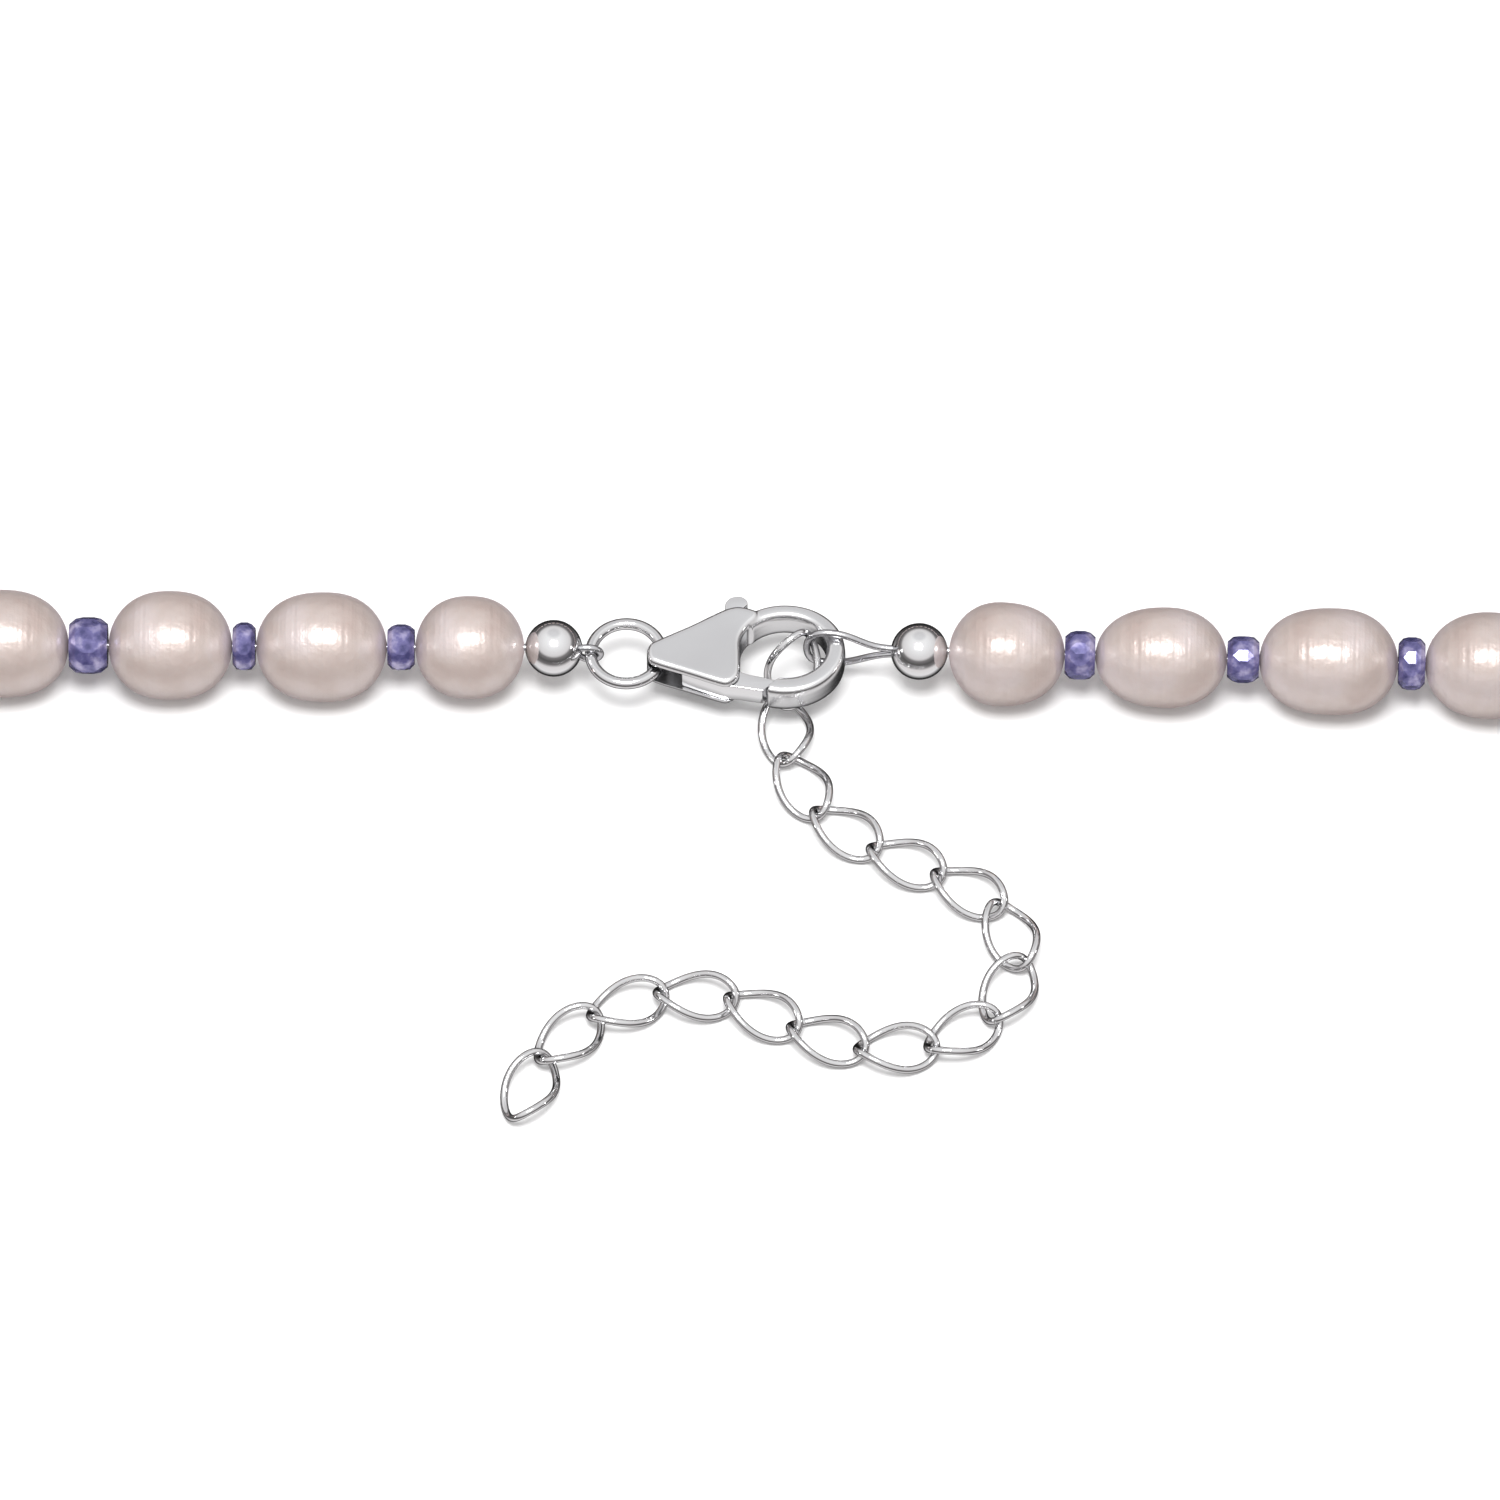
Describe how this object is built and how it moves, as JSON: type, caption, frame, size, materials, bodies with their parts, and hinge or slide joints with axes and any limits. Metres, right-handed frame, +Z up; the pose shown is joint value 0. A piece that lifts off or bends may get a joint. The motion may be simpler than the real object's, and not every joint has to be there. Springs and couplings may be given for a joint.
{
  "type": "pearl_necklace",
  "caption": "Baroque pearl necklace with faceted violet-grey spacer beads, a lobster clasp on a jump ring and an extender chain, lying closed on a flat surface",
  "frame": {"origin": "middle of the whole piece's bounding box, on the table it lies on", "axes": "+X runs left to right along the front row of pearls, +Y points from the front row to the back row, +Z up from the table"},
  "size_m": [0.1962, 0.1092, 0.0075],
  "materials": {
    "pearl": "lustrous nacre",
    "rondelle_stone": "polished facets",
    "bright_silver": "polished",
    "satin_silver": "lightly worn polish",
    "beading_wire": "fine stranded wire"
  },
  "bodies": {
    "front_strand": {"left_wire": "beading_wire", "left_crimp_tube": "satin_silver", "left_end_ball": "bright_silver", "right_wire": "beading_wire", "right_crimp_tube": "satin_silver", "right_end_ball": "bright_silver", "strand_left_front": "pearl", "strand_right_front": "pearl"},
    "clasp": {"clasp_body": "satin_silver", "clasp_rivet": "satin_silver", "clasp_spring": "beading_wire"},
    "lever": {"clasp_lever": "bright_silver"},
    "ring": {"clasp_ring": "bright_silver"},
    "sides_1": {"strand_left_1": "pearl", "strand_right_1": "pearl"},
    "sides_2": {"strand_left_2": "pearl", "strand_right_2": "pearl"},
    "sides_3": {"strand_left_3": "pearl", "strand_right_3": "pearl"},
    "sides_4": {"strand_left_4": "pearl", "strand_right_4": "pearl"},
    "back_row": {"strand_back_1": "pearl", "strand_back_2": "pearl", "strand_back_3": "pearl", "strand_back_4": "pearl"},
    "link_00": {"chain_link_00": "bright_silver"},
    "link_01": {"chain_link_01": "bright_silver"},
    "link_02": {"chain_link_02": "bright_silver"},
    "link_03": {"chain_link_03": "bright_silver"},
    "link_04": {"chain_link_04": "bright_silver"},
    "link_05": {"chain_link_05": "bright_silver"},
    "link_06": {"chain_link_06": "bright_silver"},
    "link_07": {"chain_link_07": "bright_silver"},
    "link_08": {"chain_link_08": "bright_silver"},
    "link_09": {"chain_link_09": "bright_silver"},
    "link_10": {"chain_link_10": "bright_silver"},
    "link_11": {"chain_link_11": "bright_silver"},
    "link_12": {"chain_link_12": "bright_silver"},
    "link_13": {"chain_link_13": "bright_silver"},
    "link_14": {"chain_link_14": "bright_silver"},
    "link_15": {"chain_link_15": "bright_silver"},
    "left_pearl_1_bead": {"left_pearl_1": "pearl"},
    "left_pearl_2_bead": {"left_pearl_2": "pearl"},
    "left_pearl_3_bead": {"left_pearl_3": "pearl"},
    "left_pearl_4_bead": {"left_pearl_4": "pearl"},
    "left_rondelle_1_bead": {"left_rondelle_1": "rondelle_stone"},
    "left_rondelle_2_bead": {"left_rondelle_2": "rondelle_stone"},
    "left_rondelle_3_bead": {"left_rondelle_3": "rondelle_stone"},
    "right_pearl_1_bead": {"right_pearl_1": "pearl"},
    "right_pearl_2_bead": {"right_pearl_2": "pearl"},
    "right_pearl_3_bead": {"right_pearl_3": "pearl"},
    "right_pearl_4_bead": {"right_pearl_4": "pearl"},
    "right_rondelle_1_bead": {"right_rondelle_1": "rondelle_stone"},
    "right_rondelle_2_bead": {"right_rondelle_2": "rondelle_stone"},
    "right_rondelle_3_bead": {"right_rondelle_3": "rondelle_stone"}
  },
  "joints": [
    {"name": "lever_opens", "type": "hinge", "parent": "clasp", "child": "lever", "pos_m": [-0.00215, -0.01885, 0.00347], "axis": [0, 0, 1], "range_deg": [0, 12], "stiffness_Nm_per_rad": 0.02, "springref_deg": -5.73},
    {"name": "strand_fold_1", "type": "hinge", "parent": "front_strand", "child": "sides_1", "pos_m": [-0.00115, -0.01035, 0.00375], "axis": [1, 0, 0], "range_deg": [0, 12]},
    {"name": "strand_fold_2", "type": "hinge", "parent": "sides_1", "child": "sides_2", "pos_m": [-0.00115, -0.00215, 0.00375], "axis": [1, 0, 0], "range_deg": [0, 12]},
    {"name": "strand_fold_3", "type": "hinge", "parent": "sides_2", "child": "sides_3", "pos_m": [-0.00115, 0.00785, 0.00375], "axis": [1, 0, 0], "range_deg": [0, 12]},
    {"name": "strand_fold_4", "type": "hinge", "parent": "sides_3", "child": "sides_4", "pos_m": [-0.00115, 0.01785, 0.00375], "axis": [1, 0, 0], "range_deg": [0, 12]},
    {"name": "strand_fold_5", "type": "hinge", "parent": "sides_4", "child": "back_row", "pos_m": [-0.00115, 0.02835, 0.00375], "axis": [1, 0, 0], "range_deg": [0, 12]},
    {"name": "clasp_tips", "type": "hinge", "parent": "front_strand", "child": "clasp", "pos_m": [0.00345, -0.01885, 0.00347], "axis": [1, 0, 0], "range_deg": [-6, 0.5]},
    {"name": "ring_tips", "type": "hinge", "parent": "front_strand", "child": "ring", "pos_m": [-0.01065, -0.01925, 0.00347], "axis": [1, 0, 0], "range_deg": [-8, 8]},
    {"name": "chain_joint_00", "type": "hinge", "parent": "front_strand", "child": "link_00", "pos_m": [0.00355, -0.01868, 0.00347], "axis": [0, 0, 1], "range_deg": [-3, 3]},
    {"name": "chain_joint_01", "type": "hinge", "parent": "link_00", "child": "link_01", "pos_m": [0.00207, -0.02126, 0.00093], "axis": [0, 0, 1], "range_deg": [-8, 8]},
    {"name": "chain_joint_02", "type": "hinge", "parent": "link_01", "child": "link_02", "pos_m": [0.00224, -0.02598, 0.00093], "axis": [0, 0, -1], "range_deg": [-12, 12]},
    {"name": "chain_joint_03", "type": "hinge", "parent": "link_02", "child": "link_03", "pos_m": [0.00431, -0.03022, 0.00093], "axis": [0, 0, 1], "range_deg": [-12, 12]},
    {"name": "chain_joint_04", "type": "hinge", "parent": "link_03", "child": "link_04", "pos_m": [0.00803, -0.03313, 0.00093], "axis": [0, 0, -1], "range_deg": [-12, 12]},
    {"name": "chain_joint_05", "type": "hinge", "parent": "link_04", "child": "link_05", "pos_m": [0.0123, -0.03512, 0.00093], "axis": [0, 0, 1], "range_deg": [-12, 12]},
    {"name": "chain_joint_06", "type": "hinge", "parent": "link_05", "child": "link_06", "pos_m": [0.01631, -0.03762, 0.00093], "axis": [0, 0, -1], "range_deg": [-12, 5]},
    {"name": "chain_joint_07", "type": "hinge", "parent": "link_06", "child": "link_07", "pos_m": [0.01784, -0.04208, 0.00093], "axis": [0, 0, 1], "range_deg": [-1, 12]},
    {"name": "chain_joint_08", "type": "hinge", "parent": "link_07", "child": "link_08", "pos_m": [0.01593, -0.0464, 0.00093], "axis": [0, 0, -1], "range_deg": [-12, 7]},
    {"name": "chain_joint_09", "type": "hinge", "parent": "link_08", "child": "link_09", "pos_m": [0.0118, -0.04868, 0.00093], "axis": [0, 0, 1], "range_deg": [-12, 12]},
    {"name": "chain_joint_10", "type": "hinge", "parent": "link_09", "child": "link_10", "pos_m": [0.00708, -0.04885, 0.00093], "axis": [0, 0, -1], "range_deg": [-12, 12]},
    {"name": "chain_joint_11", "type": "hinge", "parent": "link_10", "child": "link_11", "pos_m": [0.00267, -0.04716, 0.00093], "axis": [0, 0, 1], "range_deg": [-12, 12]},
    {"name": "chain_joint_12", "type": "hinge", "parent": "link_11", "child": "link_12", "pos_m": [-0.00145, -0.04487, 0.00093], "axis": [0, 0, -1], "range_deg": [-12, 12]},
    {"name": "chain_joint_13", "type": "hinge", "parent": "link_12", "child": "link_13", "pos_m": [-0.00616, -0.04446, 0.00093], "axis": [0, 0, 1], "range_deg": [-12, 12]},
    {"name": "chain_joint_14", "type": "hinge", "parent": "link_13", "child": "link_14", "pos_m": [-0.01053, -0.04623, 0.00093], "axis": [0, 0, -1], "range_deg": [-12, 12]},
    {"name": "chain_joint_15", "type": "hinge", "parent": "link_14", "child": "link_15", "pos_m": [-0.01387, -0.04956, 0.00093], "axis": [0, 0, 1], "range_deg": [-12, 12]},
    {"name": "left_pearl_1_spins", "type": "hinge", "parent": "front_strand", "child": "left_pearl_1_bead", "pos_m": [-0.019, -0.01896, 0.00375], "axis": [-1, 0.007, 0], "continuous": true},
    {"name": "left_pearl_2_spins", "type": "hinge", "parent": "front_strand", "child": "left_pearl_2_bead", "pos_m": [-0.02893, -0.01889, 0.00375], "axis": [-1, 0.007, 0], "continuous": true},
    {"name": "left_pearl_3_spins", "type": "hinge", "parent": "front_strand", "child": "left_pearl_3_bead", "pos_m": [-0.03905, -0.01882, 0.00375], "axis": [-1, 0.007, 0], "continuous": true},
    {"name": "left_pearl_4_spins", "type": "hinge", "parent": "front_strand", "child": "left_pearl_4_bead", "pos_m": [-0.0499, -0.01875, 0.00375], "axis": [-1, 0.007, 0], "continuous": true},
    {"name": "left_rondelle_1_spins", "type": "hinge", "parent": "front_strand", "child": "left_rondelle_1_bead", "pos_m": [-0.0236, -0.01893, 0.00375], "axis": [-1, 0.007, 0], "continuous": true},
    {"name": "left_rondelle_2_spins", "type": "hinge", "parent": "front_strand", "child": "left_rondelle_2_bead", "pos_m": [-0.03411, -0.01886, 0.00375], "axis": [-1, 0.007, 0], "continuous": true},
    {"name": "left_rondelle_3_spins", "type": "hinge", "parent": "front_strand", "child": "left_rondelle_3_bead", "pos_m": [-0.04452, -0.01878, 0.00375], "axis": [-1, 0.007, 0], "continuous": true},
    {"name": "right_pearl_1_spins", "type": "hinge", "parent": "front_strand", "child": "right_pearl_1_bead", "pos_m": [0.01694, -0.01943, 0.00375], "axis": [0.9996, -0.0297, 0], "continuous": true},
    {"name": "right_pearl_2_spins", "type": "hinge", "parent": "front_strand", "child": "right_pearl_2_bead", "pos_m": [0.02727, -0.01973, 0.00375], "axis": [0.9996, -0.0297, 0], "continuous": true},
    {"name": "right_pearl_3_spins", "type": "hinge", "parent": "front_strand", "child": "right_pearl_3_bead", "pos_m": [0.03847, -0.02006, 0.00375], "axis": [0.9996, -0.0297, 0], "continuous": true},
    {"name": "right_pearl_4_spins", "type": "hinge", "parent": "front_strand", "child": "right_pearl_4_bead", "pos_m": [0.04917, -0.02038, 0.00375], "axis": [0.9996, -0.0297, 0], "continuous": true},
    {"name": "right_rondelle_1_spins", "type": "hinge", "parent": "front_strand", "child": "right_rondelle_1_bead", "pos_m": [0.02183, -0.01957, 0.00375], "axis": [0.9996, -0.0297, 0], "continuous": true},
    {"name": "right_rondelle_2_spins", "type": "hinge", "parent": "front_strand", "child": "right_rondelle_2_bead", "pos_m": [0.03275, -0.01989, 0.00375], "axis": [0.9996, -0.0297, 0], "continuous": true},
    {"name": "right_rondelle_3_spins", "type": "hinge", "parent": "front_strand", "child": "right_rondelle_3_bead", "pos_m": [0.04401, -0.02023, 0.00375], "axis": [0.9996, -0.0297, 0], "continuous": true}
  ]
}
